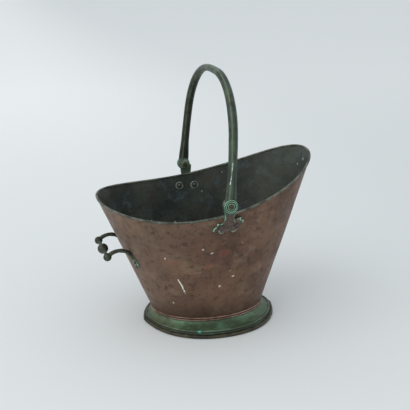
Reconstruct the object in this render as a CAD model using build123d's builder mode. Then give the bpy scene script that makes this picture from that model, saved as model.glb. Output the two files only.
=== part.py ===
"""Kindling bucket: a flared copper bucket on a brass foot, with a swinging bail and a tipping handle.

+Z is up and the floor is z = 0. +X points to the high pouring lip and -X to the tipping handle.
The bail turns about a line along Y, through two cast lugs riveted to the long sides.
"""
from build123d import *
from math import cos, hypot, pi, radians, sin
import os

os.makedirs("parts", exist_ok=True)

# Sheets and fits
sheet = 1.2             # copper of the bucket's wall
pan_sheet = 1.5         # copper of the floor pan
foot_sheet = 1.5        # brass of the foot
seam_gap = 0.05         # solder between pieces that lie on each other
hole_gap = 0.05         # radial room of a rivet in its hole

# Bucket wall, straight lines from an oval base to an egg-shaped mouth
base_height = 21.0      # lower edge of the wall above the floor
base_centre = 5.0
base_half_length = 101.0
base_half_width = 75.5
plan_height = 310.0     # level at which the mouth's egg is drawn
mouth_centre = -65.7    # widest place of the egg
mouth_rear = 154.7
mouth_front = 259.2
mouth_half_width = 150.4
mouth_fullness = 0.619  # 0.552 would be an ellipse, more is fuller
quarter_steps = 5       # points along a quarter of an outline
ellipse = 0.5523        # handle length that makes a cubic curve a quarter ellipse

# Rim line: an arc seen from the side, through three heights
rim_reach = 190.0
rim_rear_height = 238.2
rim_middle_height = 231.3
rim_front_height = 300.3
rim_roll = 1.9          # radius of the wired edge

# Band round the base and floor pan
band_height = 6.5
band_proud = 1.5
pan_rise = 4.0          # pan above the wall's lower edge
pan_flange = 9.0

# Foot: two stamped halves that meet in a point at each end
foot_centre = 8.4
foot_half_length = 123.0
foot_half_width = 107.5
foot_fullness = 0.584
foot_lean = 0.081       # how far each end is drawn to a point
roll_radius = 3.1       # rolled edge that stands on the floor
skirt_steps = (         # share of the way out from the wall to the roll, share of the height
    (0.0, 1.0), (0.12, 0.75), (0.32, 0.53), (0.55, 0.39), (0.70, 0.34),
    (0.74, 0.40), (0.83, 0.34), (0.88, 0.21), (0.90, 0.02))

# Lugs that carry the bail
pivot_x = 1.0
pivot_height = 250.5
lug_x = 3.0
lug_thickness = 3.2
lug_tilt = 6.0          # the wings follow the rising rim
eye_radius = 10.2
eye_thickness = 4.6
eye_inner_face = 127.8  # from the bucket's middle plane
neck_half_width = 8.5
lobe_radius = 8.5
lug_rivet_spacing = 29.0
lug_rivet_height = 211.0
lug_rivet_radius = 2.4
lug_rivet_head = 4.6
lug_rivet_rise = 1.8
burr_radius = 7.4       # washer under the clenched end, inside the bucket
burr_thickness = 1.0
burr_gap = 0.22         # the wall is hollow under a flat washer

# Pivot pins
pin_radius = 3.4
pin_head_radius = 7.2
pin_head_thickness = 2.0
pin_washer_radius = 9.4
pin_washer_thickness = 1.0
pin_rivet_radius = 5.0  # clenched outer end
pin_play = 0.06         # radial running clearance in the bail
side_play = 0.5         # between the lug's eye and the bail

# Bail
bail_thickness = 9.4    # leg end, along Y
boss_radius = 11.4
boss_rise = 1.0         # turned rings on the boss
bail_width = 15.0       # rod, along the swing
bail_depth = 11.5       # rod, across the swing
leg_end_width = 19.0
bail_height = 199.0
bail_lean = 4.0         # degrees towards the lip: the tight pivots hold it there
leg_arc_radius = 526.0
leg_arc_turn = 12.2
shoulder_turn = 74.3
leg_taper = 46.0        # length over which the leg widens

# Tipping handle
arm_half_gap = 42.0     # middle plane to the middle of an arm
arm_thickness = 6.8
knob_x = -183.7
knob_height = 148.1
knob_radius = 7.0
arm_top_height = 157.3
arm_root_height = 143.0
leaf_top = 149.0
leaf_bottom = 121.5
leaf_width = 15.0
leaf_thickness = 2.4
leaf_rivet_heights = (133.0, 125.5)
leaf_rivet_radius = 1.5
leaf_rivet_head = 2.8
leaf_rivet_rise = 1.2
leaf_burr_radius = 3.5
spindle_radius = 3.4
ball_radius = 9.2
ball_length = 20.0
tenon_radius = 2.4
tenon_length = 5.0


def quarter(share, fullness, lean=0.0):
    """Place on a quarter outline of unit size, from its end (1, 0) to its side (0, 1).

    It is a cubic curve whose two handles are fullness long. Lean draws the end to a point.
    """
    rest = 1 - share
    along = rest**3 + 3 * rest**2 * share * (1 - lean) + 3 * rest * share**2 * fullness
    across = 3 * rest**2 * share * fullness + 3 * rest * share**2 + share**3
    return along, across


def wall_point(end, share, height):
    """Point of the wall's outer face at y > 0, on the front (end = 1) or rear (end = -1) quarter."""
    level = (height - base_height) / (plan_height - base_height)
    reach = mouth_front if end > 0 else mouth_rear
    base_along, base_across = quarter(share, ellipse)
    mouth_along, mouth_across = quarter(share, mouth_fullness)
    base_x = base_centre + end * base_half_length * base_along
    mouth_x = mouth_centre + end * reach * mouth_along
    y = base_half_width * base_across * (1 - level) + mouth_half_width * mouth_across * level
    return Vector(base_x * (1 - level) + mouth_x * level, y, height)


def wall_plane(end, height, x=None, y=None):
    """Plane on the wall's outer face at y > 0, at a height and at a given x or y, facing outwards.

    Halving finds the place on the quarter outline.
    """
    low, high = 0.0, 1.0
    for _ in range(40):
        middle = (low + high) / 2
        point = wall_point(end, middle, height)
        before = point.Y < y if x is None else end * point.X > end * x
        low, high = (middle, high) if before else (low, middle)
    step = 1e-3
    level = wall_point(end, middle + step, height) - wall_point(end, middle - step, height)
    upward = wall_point(end, middle, height + 1) - wall_point(end, middle, height - 1)
    outward = level.cross(upward)
    if outward.Y < 0:
        outward = outward * -1
    return Plane(origin=point, x_dir=level, z_dir=outward)


def half_outline(centre, rear, front, width, fullness, lean=0.0):
    """Points along the front half of a closed plan (y <= 0), from its rear end to its front end."""
    places = [quarter(step / quarter_steps, fullness, lean) for step in range(quarter_steps + 1)]
    rear_side = [(centre - rear * along, -width * across) for along, across in places]
    front_side = [(centre + front * along, -width * across) for along, across in places]
    return rear_side + front_side[-2::-1]


def front_half(levels):
    """Front half of a solid with straight sides between levels, each a height and its outline."""
    with BuildPart() as half:
        for height, edge in levels:
            with BuildSketch(Plane.XY.offset(height)):
                with BuildLine():
                    Spline(edge)
                    Line(edge[0], edge[-1])
                make_face()
        loft(ruled=True)
    return half.part


def bucket_form(inset):
    """Front half of the solid inside the wall, drawn in by inset, or grown where it is negative."""
    length, width = base_half_length - inset, base_half_width - inset
    base = half_outline(base_centre, length, length, width, ellipse)
    mouth = half_outline(mouth_centre, mouth_rear - inset, mouth_front - inset,
                         mouth_half_width - inset, mouth_fullness)
    return front_half([(base_height, base), (plan_height, mouth)])


def circle_through(first, second, third):
    """Centre and radius of the circle through three points, each an (x, z) pair."""
    (ax, az), (bx, bz), (cx, cz) = first, second, third
    area = 2 * (ax * (bz - cz) + bx * (cz - az) + cx * (az - bz))
    a_square, b_square, c_square = ax**2 + az**2, bx**2 + bz**2, cx**2 + cz**2
    x = (a_square * (bz - cz) + b_square * (cz - az) + c_square * (az - bz)) / area
    z = (a_square * (cx - bx) + b_square * (ax - cx) + c_square * (bx - ax)) / area
    return x, z, hypot(ax - x, az - z)


rim_x, rim_z, rim_radius = circle_through(
    (-rim_reach, rim_rear_height), (0, rim_middle_height), (rim_reach, rim_front_height))
span = 3 * mouth_half_width     # longer than the bucket is wide


def rim_cylinder(drop):
    """Cylinder whose lowest side is the rim's arc, lowered by drop."""
    with BuildPart() as cutter:
        with Locations((rim_x, 0, rim_z)):
            Cylinder(rim_radius + drop, span, rotation=(90, 0, 0))
    return cutter.part


def slab(low, high):
    """Level slab between two heights, larger than the bucket."""
    with BuildPart() as block:
        with BuildSketch(Plane.XY.offset(low)):
            Rectangle(2 * span, span)
        extrude(amount=high - low)
    return block.part


def mirrored(plane):
    """The same plane on the other long side of the bucket."""
    origin, level, outward = plane.origin, plane.x_dir, plane.z_dir
    return Plane(origin=(origin.X, -origin.Y, origin.Z), x_dir=(level.X, -level.Y, level.Z),
                 z_dir=(outward.X, -outward.Y, outward.Z))


lug_places = [mirrored(wall_plane(1, lug_rivet_height, x=lug_x + side * lug_rivet_spacing / 2))
              for side in (-1, 1)]
leaf_places = [mirrored(wall_plane(-1, height, y=arm_half_gap)) for height in leaf_rivet_heights]

# Bucket wall, its front half mirrored to make the back

with BuildPart() as body_shell:
    add(bucket_form(0))
    add(bucket_form(sheet), mode=Mode.SUBTRACT)
    add(rim_cylinder(rim_roll), mode=Mode.SUBTRACT)
    for places, radius in ((lug_places, lug_rivet_radius), (leaf_places, leaf_rivet_radius)):
        with Locations(*places):
            Cylinder(radius + hole_gap, 6 * sheet, mode=Mode.SUBTRACT)
    mirror(about=Plane.XZ)
body_shell.part.label = "body_shell"

# Rolled rim


def rim_band(half):
    """Front half of a band round the rim line, half thick to each side, above and below."""
    with BuildPart() as band:
        add(bucket_form(sheet / 2 - half))
        add(bucket_form(sheet / 2 + half), mode=Mode.SUBTRACT)
        add(rim_cylinder(half), mode=Mode.INTERSECT)
        add(rim_cylinder(-half), mode=Mode.SUBTRACT)
    return band.part


with BuildPart() as rolled_rim:
    add(rim_band(rim_roll))
    mirror(about=Plane.XZ)
rolled_rim.part.label = "rolled_rim"

# Band round the wall's lower edge

with BuildPart() as base_band:
    add(bucket_form(-band_proud))
    add(slab(base_height, base_height + band_height), mode=Mode.INTERSECT)
    add(bucket_form(-seam_gap), mode=Mode.SUBTRACT)
    mirror(about=Plane.XZ)
base_band.part.label = "base_band"

# Floor pan, with a flange turned up against the wall

pan_height = base_height + pan_rise
with BuildPart() as pan_hollow:
    add(bucket_form(sheet + seam_gap + pan_sheet))
    add(slab(pan_height + pan_sheet, pan_height + 2 * pan_flange), mode=Mode.INTERSECT)
with BuildPart() as floor_pan:
    add(bucket_form(sheet + seam_gap))
    add(slab(pan_height, pan_height + pan_flange), mode=Mode.INTERSECT)
    add(pan_hollow.part, mode=Mode.SUBTRACT)
    mirror(about=Plane.XZ)
floor_pan.part.label = "floor_pan"

# Foot: each half is a stamped skirt, and a rolled edge that stands on the floor


def foot_outline(share, inset):
    """Front half of the foot's plan: share 0 is the wall's base and share 1 the middle of the roll."""
    length = base_half_length + (foot_half_length - roll_radius - base_half_length) * share - inset
    width = base_half_width + (foot_half_width - roll_radius - base_half_width) * share - inset
    centre = base_centre + (foot_centre - base_centre) * share
    fullness = ellipse + (foot_fullness - ellipse) * share
    return half_outline(centre, length, length, width, fullness, foot_lean * share)


skirt_low = 2 * roll_radius + seam_gap
skirt_rise = base_height - seam_gap - skirt_low
skirt_levels = [(share, skirt_low + skirt_rise * rise) for share, rise in skirt_steps]
with BuildPart() as foot_skirt_front:
    add(front_half([(height, foot_outline(share, 0)) for share, height in skirt_levels]))
    add(front_half([(base_height + foot_sheet, foot_outline(0, foot_sheet))]
                   + [(height - foot_sheet, foot_outline(share, 0.6 * foot_sheet))
                      for share, height in skirt_levels]), mode=Mode.SUBTRACT)
foot_skirt_front.part.label = "foot_skirt_front"

flat_turn = radians(75)      # the roll is flat above and below from here on
roll_turns = (flat_turn, radians(45), 0, radians(-45), -flat_turn)
roll_levels = [(roll_radius * cos(turn), roll_radius * (1 - sin(turn) / sin(flat_turn)))
               for turn in roll_turns]
with BuildPart() as foot_roll_front:
    add(front_half([(height, foot_outline(1, -out)) for out, height in roll_levels]))
    add(front_half([(height, foot_outline(1, out)) for out, height in roll_levels]), mode=Mode.SUBTRACT)
foot_roll_front.part.label = "foot_roll_front"

# Lugs: a winged plate on the wall, a neck over the rim and an eye for the pivot pin

eye_outer_face = eye_inner_face + eye_thickness
wing_root = lug_rivet_height + 0.7 * lobe_radius
neck_bottom = wing_root + neck_half_width
neck_foot_half_width = 1.7 * neck_half_width
neck_outline = [(lug_x - neck_half_width, neck_bottom), (pivot_x - eye_radius, pivot_height),
                (pivot_x + eye_radius, pivot_height), (lug_x + neck_half_width, neck_bottom)]
wing_reach = lug_rivet_spacing / 2 + 0.9 * lobe_radius
with BuildPart() as lug_plate:
    with BuildSketch(Plane.XZ):
        with Locations((lug_x - lug_rivet_spacing / 2, lug_rivet_height),
                       (lug_x + lug_rivet_spacing / 2, lug_rivet_height)):
            Circle(lobe_radius)
        with Locations((lug_x, lug_rivet_height + 0.35 * lobe_radius)):
            Rectangle(lug_rivet_spacing, 1.3 * lobe_radius)
        with Locations(Location((lug_x, wing_root), lug_tilt)):
            with Locations((wing_reach, -0.2 * lobe_radius), (-wing_reach, -0.2 * lobe_radius)):
                Ellipse(0.8 * lobe_radius, 0.42 * lobe_radius)
        with BuildLine():
            Polyline((lug_x - neck_foot_half_width, wing_root - 1), (lug_x - neck_half_width, neck_bottom),
                     (lug_x - neck_half_width, rim_middle_height),
                     (lug_x + neck_half_width, rim_middle_height),
                     (lug_x + neck_half_width, neck_bottom), (lug_x + neck_foot_half_width, wing_root - 1),
                     close=True)
        make_face()
    extrude(amount=span / 2)
    add(bucket_form(-lug_thickness), mode=Mode.INTERSECT)
    add(bucket_form(-seam_gap), mode=Mode.SUBTRACT)

with BuildPart() as lug_front:
    with BuildSketch(Plane.XZ.offset(eye_inner_face)):
        with BuildLine():
            Polyline(*neck_outline, close=True)
        make_face()
        with Locations((pivot_x, pivot_height)):
            Circle(eye_radius)
    extrude(amount=eye_thickness)
    add(lug_plate.part)
    add(rim_band(rim_roll + seam_gap), mode=Mode.SUBTRACT)
    with Locations(*lug_places):
        Cylinder(lug_rivet_radius + hole_gap, 12 * lug_thickness, mode=Mode.SUBTRACT)
    with Locations((pivot_x, -eye_inner_face, pivot_height)):
        Cylinder(pin_radius + hole_gap, 4 * eye_thickness, rotation=(90, 0, 0), mode=Mode.SUBTRACT)
lug_front.part.label = "lug_front"

# Rivets: a domed head outside, a shank through the wall and a clenched end on a washer inside


def turned(profile, plane):
    """Solid turned about the plane's z from a profile of (radius, height) points on that axis."""
    with BuildPart() as solid:
        with BuildSketch(Plane(origin=plane.origin, x_dir=plane.x_dir, z_dir=plane.y_dir * -1)):
            with BuildLine():
                Polyline(*profile, close=True)
            make_face()
        revolve(axis=Axis(plane.origin, plane.z_dir))
    return solid.part


def rivet_profile(radius, head, rise, seat, end):
    """Half section of a rivet, from the clenched end that starts at end to the head on its seat."""
    clench = 1.4 * radius
    clenched = [(0, end - rise), (0.6 * clench, end - 0.8 * rise), (clench, end), (radius, end)]
    domed = [(radius, seat), (head, seat), (0.85 * head, seat + 0.55 * rise), (0.5 * head, seat + 0.9 * rise),
             (0, seat + rise)]
    return clenched + domed


def wall_slant(plane):
    """Share of a level thickness that is left when it is measured square to the wall."""
    return hypot(plane.z_dir.X, plane.z_dir.Y)


def rivet_group(places, radius, head, rise, plate, burr):
    """Rivets and their washers at planes on the wall, through a plate of the given thickness."""
    with BuildPart() as rivets:
        for place in places:
            seat = plate * wall_slant(place) + burr_gap
            end = -sheet * wall_slant(place) - burr_gap - burr_thickness - seam_gap
            add(turned(rivet_profile(radius, head, rise, seat, end), place))
    with BuildPart() as burrs:
        for place in places:
            inside = -sheet * wall_slant(place) - burr_gap
            ring = [(radius + hole_gap, inside), (burr, inside), (burr, inside - 0.5 * burr_thickness),
                    (burr - 0.5 * burr_thickness, inside - burr_thickness),
                    (radius + hole_gap, inside - burr_thickness)]
            add(turned(ring, place))
    return rivets.part, burrs.part


lug_rivet_solids, lug_burr_solids = rivet_group(
    lug_places, lug_rivet_radius, lug_rivet_head, lug_rivet_rise, lug_thickness, burr_radius)
with BuildPart() as lug_rivets_front:
    add(lug_rivet_solids)
lug_rivets_front.part.label = "lug_rivets_front"
with BuildPart() as lug_burrs_front:
    add(lug_burr_solids)
lug_burrs_front.part.label = "lug_burrs_front"

# Pivot pin: flat head inside the bucket's line, clenched end outside the bail

pivot_front = Plane(origin=(pivot_x, 0, pivot_height), x_dir=(1, 0, 0), z_dir=(0, -1, 0))
bail_inner_face = eye_outer_face + side_play
bail_outer_face = bail_inner_face + bail_thickness
washer_face = eye_inner_face - seam_gap
head_face = washer_face - pin_washer_thickness
pin_end = bail_outer_face + side_play
pin_profile = [(0, head_face - pin_head_thickness), (0.85 * pin_head_radius, head_face - pin_head_thickness),
               (pin_head_radius, head_face - 0.6 * pin_head_thickness), (pin_head_radius, head_face),
               (pin_radius, head_face), (pin_radius, pin_end), (pin_rivet_radius, pin_end),
               (0.7 * pin_rivet_radius, pin_end + 0.35 * pin_rivet_radius),
               (0, pin_end + 0.4 * pin_rivet_radius)]
with BuildPart() as pivot_pin_front:
    add(turned(pin_profile, pivot_front))
pivot_pin_front.part.label = "pivot_pin_front"

washer_profile = [(pin_radius + hole_gap, head_face + seam_gap), (pin_washer_radius, head_face + seam_gap),
                  (pin_washer_radius, washer_face), (pin_radius + hole_gap, washer_face)]
with BuildPart() as pin_washer_front:
    add(turned(washer_profile, pivot_front))
pin_washer_front.part.label = "pin_washer_front"

# Bail: a round-edged rod bent through tangent arcs, widening to a ringed boss at each end

bail_side = (bail_inner_face + bail_outer_face) / 2
lean = radians(bail_lean)
bail_plane = Plane(origin=(pivot_x, 0, pivot_height), x_dir=(0, 1, 0), z_dir=(cos(lean), 0, -sin(lean)))
first, second = radians(leg_arc_turn), radians(leg_arc_turn + shoulder_turn)
# The shoulder's and crown's radii follow from the width and height that the arcs must reach
level_left = bail_side - leg_arc_radius * (1 - cos(first))
rise_left = bail_height - leg_arc_radius * sin(first)
level_terms = (cos(first) - cos(second), cos(second))
rise_terms = (sin(second) - sin(first), 1 - sin(second))
divisor = level_terms[0] * rise_terms[1] - level_terms[1] * rise_terms[0]
shoulder_radius = (level_left * rise_terms[1] - level_terms[1] * rise_left) / divisor
crown_radius = (level_terms[0] * rise_left - rise_terms[0] * level_left) / divisor
taper_turn = leg_taper / leg_arc_radius


def on_arc(centre, radius, turn):
    """Point of an arc in the bail's plane, turned from level."""
    return centre[0] + radius * cos(turn), centre[1] + radius * sin(turn)


leg_centre = (bail_side - leg_arc_radius, 0)
leg_end = on_arc(leg_centre, leg_arc_radius, first)
shoulder_centre = on_arc(leg_end, -shoulder_radius, first)
shoulder_end = on_arc(shoulder_centre, shoulder_radius, second)
crown_centre = on_arc(shoulder_end, -crown_radius, second)
arcs = ((leg_centre, leg_arc_radius, taper_turn, first), (shoulder_centre, shoulder_radius, first, second),
        (crown_centre, crown_radius, second, pi / 2))


def leg_section(turn):
    """Plane across the rod at a turn along the leg's arc: x is its depth and y its width."""
    place = on_arc(leg_centre, leg_arc_radius, turn)
    outward = (bail_plane.x_dir * cos(turn) + bail_plane.y_dir * sin(turn))
    along = bail_plane.y_dir * cos(turn) - bail_plane.x_dir * sin(turn)
    return Plane(origin=bail_plane.from_local_coords((place[0], place[1], 0)), x_dir=outward, z_dir=along)


ring_steps = [(0.42, 0.0), (0.46, 0.7), (0.56, 0.7), (0.60, 0.1), (0.68, 0.1), (0.72, 1.0), (0.82, 1.0),
              (0.86, 0.3), (0.92, 0.3), (1.0, 0.0)]
boss_profile = [(pin_radius + pin_play, bail_inner_face), (boss_radius, bail_inner_face),
                (boss_radius, bail_outer_face)]
boss_profile += [(boss_radius * out, bail_outer_face + boss_rise * rise)
                 for out, rise in reversed(ring_steps[:-1])]
boss_profile += [(pin_radius + pin_play, bail_outer_face)]
pivot_back = Plane(origin=pivot_front.origin, x_dir=(1, 0, 0), z_dir=(0, 1, 0))
boss_half_height = 0.8 * boss_radius
with BuildPart() as bail:
    with BuildLine(bail_plane):
        for centre, radius, start, end in arcs:
            ThreePointArc(on_arc(centre, radius, start), on_arc(centre, radius, (start + end) / 2),
                          on_arc(centre, radius, end))
        mirror(about=Plane.XZ)
    with BuildSketch(leg_section(taper_turn)):
        Ellipse(bail_depth / 2, bail_width / 2)
    sweep()
    leg_low = boss_half_height / leg_arc_radius
    with BuildSketch(leg_section(taper_turn)):
        Ellipse(bail_depth / 2, bail_width / 2)
    with BuildSketch(leg_section(leg_low)):
        Ellipse(bail_thickness / 2, leg_end_width / 2)
    loft()
    mirror(about=Plane.XZ)
    for plane in (pivot_front, pivot_back):
        add(turned(boss_profile, plane))
        with Locations(plane.offset(bail_side)):
            Cylinder(pin_radius + pin_play, 2 * bail_thickness, mode=Mode.SUBTRACT)
bail.part.label = "bail"

# Tipping handle: two arched arms on leaf-shaped plates, with a turned grip between them

leaf_middle = (leaf_top + leaf_bottom) / 2
arm_root = wall_plane(-1, arm_root_height, y=arm_half_gap).origin
arm_top_x = (knob_x + arm_root.X) / 2
arm_plane = Plane(origin=(0, -arm_half_gap, 0), x_dir=(1, 0, 0), z_dir=(0, -1, 0))
with BuildPart() as leaf_plate:
    with BuildSketch(Plane(origin=(0, -arm_half_gap, leaf_middle), x_dir=(0, -1, 0), z_dir=(-1, 0, 0))):
        Ellipse(leaf_width / 2, (leaf_top - leaf_bottom) / 2)
    extrude(amount=span / 2)
    add(bucket_form(-leaf_thickness), mode=Mode.INTERSECT)

with BuildPart() as handle_arm_front:
    with BuildLine(arm_plane) as arm_line:
        ThreePointArc((arm_root.X + sheet, arm_root.Z - arm_thickness / 2), (arm_top_x, arm_top_height),
                      (knob_x, knob_height))
    with BuildSketch(Plane(arm_line.line @ 0, z_dir=arm_line.line % 0)):
        Circle(arm_thickness / 2)
    sweep()
    with Locations((knob_x, -arm_half_gap, knob_height)):
        Sphere(knob_radius)
    add(leaf_plate.part)
    add(bucket_form(-seam_gap), mode=Mode.SUBTRACT)
    with Locations((knob_x, -arm_half_gap + knob_radius, knob_height)):
        Cylinder(tenon_radius + hole_gap, 2 * tenon_length, rotation=(90, 0, 0), mode=Mode.SUBTRACT)
    with Locations(*leaf_places):
        Cylinder(leaf_rivet_radius + hole_gap, 12 * leaf_thickness, mode=Mode.SUBTRACT)
handle_arm_front.part.label = "handle_arm_front"

grip_end = arm_half_gap - knob_radius - seam_gap
tenon_end = arm_half_gap - knob_radius + tenon_length - 2 * seam_gap
with BuildPart() as handle_grip:
    with BuildSketch(Plane(origin=(knob_x, 0, knob_height), x_dir=(0, 1, 0), z_dir=(1, 0, 0))):
        with BuildLine():
            Polyline((-tenon_end, 0), (-tenon_end, tenon_radius), (-grip_end, tenon_radius),
                     (-grip_end, spindle_radius), (grip_end, spindle_radius), (grip_end, tenon_radius),
                     (tenon_end, tenon_radius), (tenon_end, 0), close=True)
        make_face()
        Ellipse(ball_length / 2, ball_radius)
        with Locations((0, -span / 2)):
            Rectangle(span, span, mode=Mode.SUBTRACT)
    revolve(axis=Axis((knob_x, 0, knob_height), (0, 1, 0)))
handle_grip.part.label = "handle_grip"

leaf_rivet_solids, leaf_burr_solids = rivet_group(
    leaf_places, leaf_rivet_radius, leaf_rivet_head, leaf_rivet_rise, leaf_thickness, leaf_burr_radius)
with BuildPart() as leaf_rivets_front:
    add(leaf_rivet_solids)
leaf_rivets_front.part.label = "leaf_rivets_front"
with BuildPart() as leaf_burrs_front:
    add(leaf_burr_solids)
leaf_burrs_front.part.label = "leaf_burrs_front"

# The back has the same pieces, mirrored

pieces = [body_shell, rolled_rim, base_band, floor_pan, bail, handle_grip]
for front in (foot_skirt_front, foot_roll_front, lug_front, lug_rivets_front, lug_burrs_front,
              pivot_pin_front, pin_washer_front, handle_arm_front, leaf_rivets_front, leaf_burrs_front):
    with BuildPart() as back:
        mirror(front.part, about=Plane.XZ)
    back.part.label = front.part.label.replace("front", "back")
    pieces += [front, back]

for piece in pieces:
    export_step(piece.part, f"parts/{piece.part.label}.step")
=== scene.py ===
# %% [markdown]
# A copper bucket for kindling, dressed around its CAD model.
#
# The bucket is old: brown copper walls, a dark verdigris inside, a green brass foot, and a cast
# bail and tipping handle. The CAD model fixes every size. This lesson gives each piece its worn
# surface, mostly as shapes worked out with numpy, and a finish made of noise.

# %% Load the fixed frame
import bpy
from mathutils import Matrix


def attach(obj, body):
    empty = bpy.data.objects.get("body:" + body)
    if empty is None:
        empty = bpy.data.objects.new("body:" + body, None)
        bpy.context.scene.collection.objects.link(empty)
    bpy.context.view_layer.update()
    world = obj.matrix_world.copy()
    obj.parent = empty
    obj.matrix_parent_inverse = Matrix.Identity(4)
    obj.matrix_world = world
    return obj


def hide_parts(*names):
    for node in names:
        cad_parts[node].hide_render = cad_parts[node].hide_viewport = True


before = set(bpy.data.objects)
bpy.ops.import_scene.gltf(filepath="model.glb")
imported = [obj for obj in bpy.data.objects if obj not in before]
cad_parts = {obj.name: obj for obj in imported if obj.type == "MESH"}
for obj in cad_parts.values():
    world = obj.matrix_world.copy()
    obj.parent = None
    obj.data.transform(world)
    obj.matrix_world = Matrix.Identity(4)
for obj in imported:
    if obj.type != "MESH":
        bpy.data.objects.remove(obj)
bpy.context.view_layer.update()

import math

import bpy
import numpy as np
from mathutils import Vector

MM = 0.001

# %% [markdown]
# The camera comes first, because every other choice is judged through it. The photograph was taken
# from a little above the rim and to the left, from about 1.4 m. A long lens keeps the bucket's sides
# nearly straight, so the focal length matters as much as the place.

# %% Camera at the photograph's angle
CAMERA_AZIMUTH = math.radians(-17.35)
CAMERA_HEIGHT = math.radians(18.16)
CAMERA_DISTANCE = 1.4133
CAMERA_AIM = Vector((0.0014, 0.0, 0.2093))
FOCAL_PIXELS = 797.3
PHOTO_SIDE = 410
SENSOR = 36.0

back = Vector((math.sin(CAMERA_AZIMUTH) * math.cos(CAMERA_HEIGHT),
               -math.cos(CAMERA_AZIMUTH) * math.cos(CAMERA_HEIGHT), math.sin(CAMERA_HEIGHT)))
camera_data = bpy.data.cameras.new("photo_camera")
camera_data.sensor_width = SENSOR
camera_data.lens = FOCAL_PIXELS / PHOTO_SIDE * SENSOR
camera = bpy.data.objects.new("photo_camera", camera_data)
camera.location = CAMERA_AIM + back * CAMERA_DISTANCE
camera.rotation_euler = back.to_track_quat("Z", "Y").to_euler()
bpy.context.collection.objects.link(camera)
bpy.context.scene.camera = camera
bpy.context.scene.view_settings.view_transform = "Standard"
print("lens in mm:", round(camera_data.lens, 1))

# %% [markdown]
# A finish is easiest to tune when its colours are written as they look on a screen. Blender's
# shaders work in linear light, so a helper turns a screen colour into a linear one.

# %% Colours, and a small helper for node trees


def screen(red, green, blue):
    """Linear colour of a screen colour, by the sRGB curve, with full alpha."""
    values = np.array([red, green, blue]) / 255
    linear = np.where(values <= 0.04045, values / 12.92, ((values + 0.055) / 1.055) ** 2.4)
    return (*linear.tolist(), 1.0)


class Finish:
    """A material built up in layers over a ground colour, all on Object coordinates in metres."""

    def __init__(self, name, ground, metal=0.0, shine=0.5, rough=0.5):
        self.material = bpy.data.materials.new(name)
        self.material.use_nodes = True
        self.tree = self.material.node_tree
        self.shader = self.tree.nodes["Principled BSDF"]
        self.coordinates = self.node("ShaderNodeTexCoord").outputs["Object"]
        self.colour = screen(*ground)
        for socket, value in (("Metallic", metal), ("Specular IOR Level", shine), ("Roughness", rough)):
            self.shader.inputs[socket].default_value = value

    def node(self, kind, **settings):
        """A new node with its plain settings made."""
        made = self.tree.nodes.new(kind)
        for key, value in settings.items():
            setattr(made, key, value)
        return made

    def put(self, socket, value):
        """Link an output to a socket, or write a constant on it."""
        if isinstance(value, bpy.types.NodeSocket):
            self.tree.links.new(value, socket)
        else:
            socket.default_value = value

    def stretched(self, factors):
        """Object coordinates multiplied along each axis, for streaks and bands."""
        mapping = self.node("ShaderNodeMapping")
        self.put(mapping.inputs["Vector"], self.coordinates)
        mapping.inputs["Scale"].default_value = factors
        return mapping.outputs["Vector"]

    def noise(self, size, detail=4.0, roughness=0.55, distortion=0.0, vector=None, seed=0.0):
        """Noise whose blotches are about size metres across."""
        texture = self.node("ShaderNodeTexNoise", noise_dimensions="4D")
        self.put(texture.inputs["Vector"], vector or self.coordinates)
        texture.inputs["W"].default_value = seed
        texture.inputs["Scale"].default_value = 1 / size
        texture.inputs["Detail"].default_value = detail
        texture.inputs["Roughness"].default_value = roughness
        texture.inputs["Distortion"].default_value = distortion
        return texture.outputs["Fac"]

    def window(self, value, low, high, start=0.0, end=1.0):
        """Value spread from low..high to start..end, with soft ends."""
        spread = self.node("ShaderNodeMapRange", interpolation_type="SMOOTHSTEP", clamp=True)
        self.put(spread.inputs["Value"], value)
        for name, number in (("From Min", low), ("From Max", high), ("To Min", start), ("To Max", end)):
            spread.inputs[name].default_value = number
        return spread.outputs["Result"]

    def maths(self, operation, first, second=0.0):
        """One arithmetic node."""
        made = self.node("ShaderNodeMath", operation=operation)
        self.put(made.inputs[0], first)
        self.put(made.inputs[1], second)
        return made.outputs[0]

    def apart(self, value, middle):
        """How far a value is from a middle one."""
        return self.maths("ABSOLUTE", self.maths("SUBTRACT", value, middle))

    def tone(self):
        """The number that add_tone stored at each point."""
        return self.node("ShaderNodeAttribute", attribute_name="tone").outputs["Fac"]

    def layer(self, shade, mask):
        """Cover the colour so far with a screen colour where the mask is 1."""
        made = self.node("ShaderNodeMix", data_type="RGBA")
        self.put(made.inputs["Factor"], mask)
        self.put(made.inputs[6], self.colour)
        self.put(made.inputs[7], screen(*shade))
        self.colour = made.outputs[2]

    def blotches(self, shade, size, low, high, share=1.0, **noise):
        """Layer of noise blotches, which grow from nothing to share as the noise goes from low to high."""
        self.layer(shade, self.window(self.noise(size, **noise), low, high, 0, share))

    def roughness(self, size, smooth, rough, seed):
        """Roughness that varies between two values by noise."""
        self.put(self.shader.inputs["Roughness"],
                 self.window(self.noise(size, seed=seed), 0.3, 0.7, smooth, rough))

    def axis(self, letter):
        """One object coordinate."""
        parts = self.node("ShaderNodeSeparateXYZ")
        self.put(parts.inputs[0], self.coordinates)
        return parts.outputs[letter]

    def apply(self, *bumps):
        """Link the colour, and a chain of bumps: each is a height output and its depth in metres."""
        self.put(self.shader.inputs["Base Color"], self.colour)
        normal = None
        for height, depth in bumps:
            bump = self.node("ShaderNodeBump")
            bump.inputs["Distance"].default_value = depth
            self.put(bump.inputs["Height"], height)
            if normal is not None:
                self.put(bump.inputs["Normal"], normal)
            normal = bump.outputs["Normal"]
        if bumps:
            self.put(self.shader.inputs["Normal"], normal)


print("screen brown in linear light:", [round(value, 3) for value in screen(94, 74, 62)[:3]])

# %% [markdown]
# Surfaces are laid as grids. One function of two parameters gives every point, so a whole wall is
# a single array, and the faces are the same pattern of four corners shifted along the grid.

# %% Grid surfaces


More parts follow.
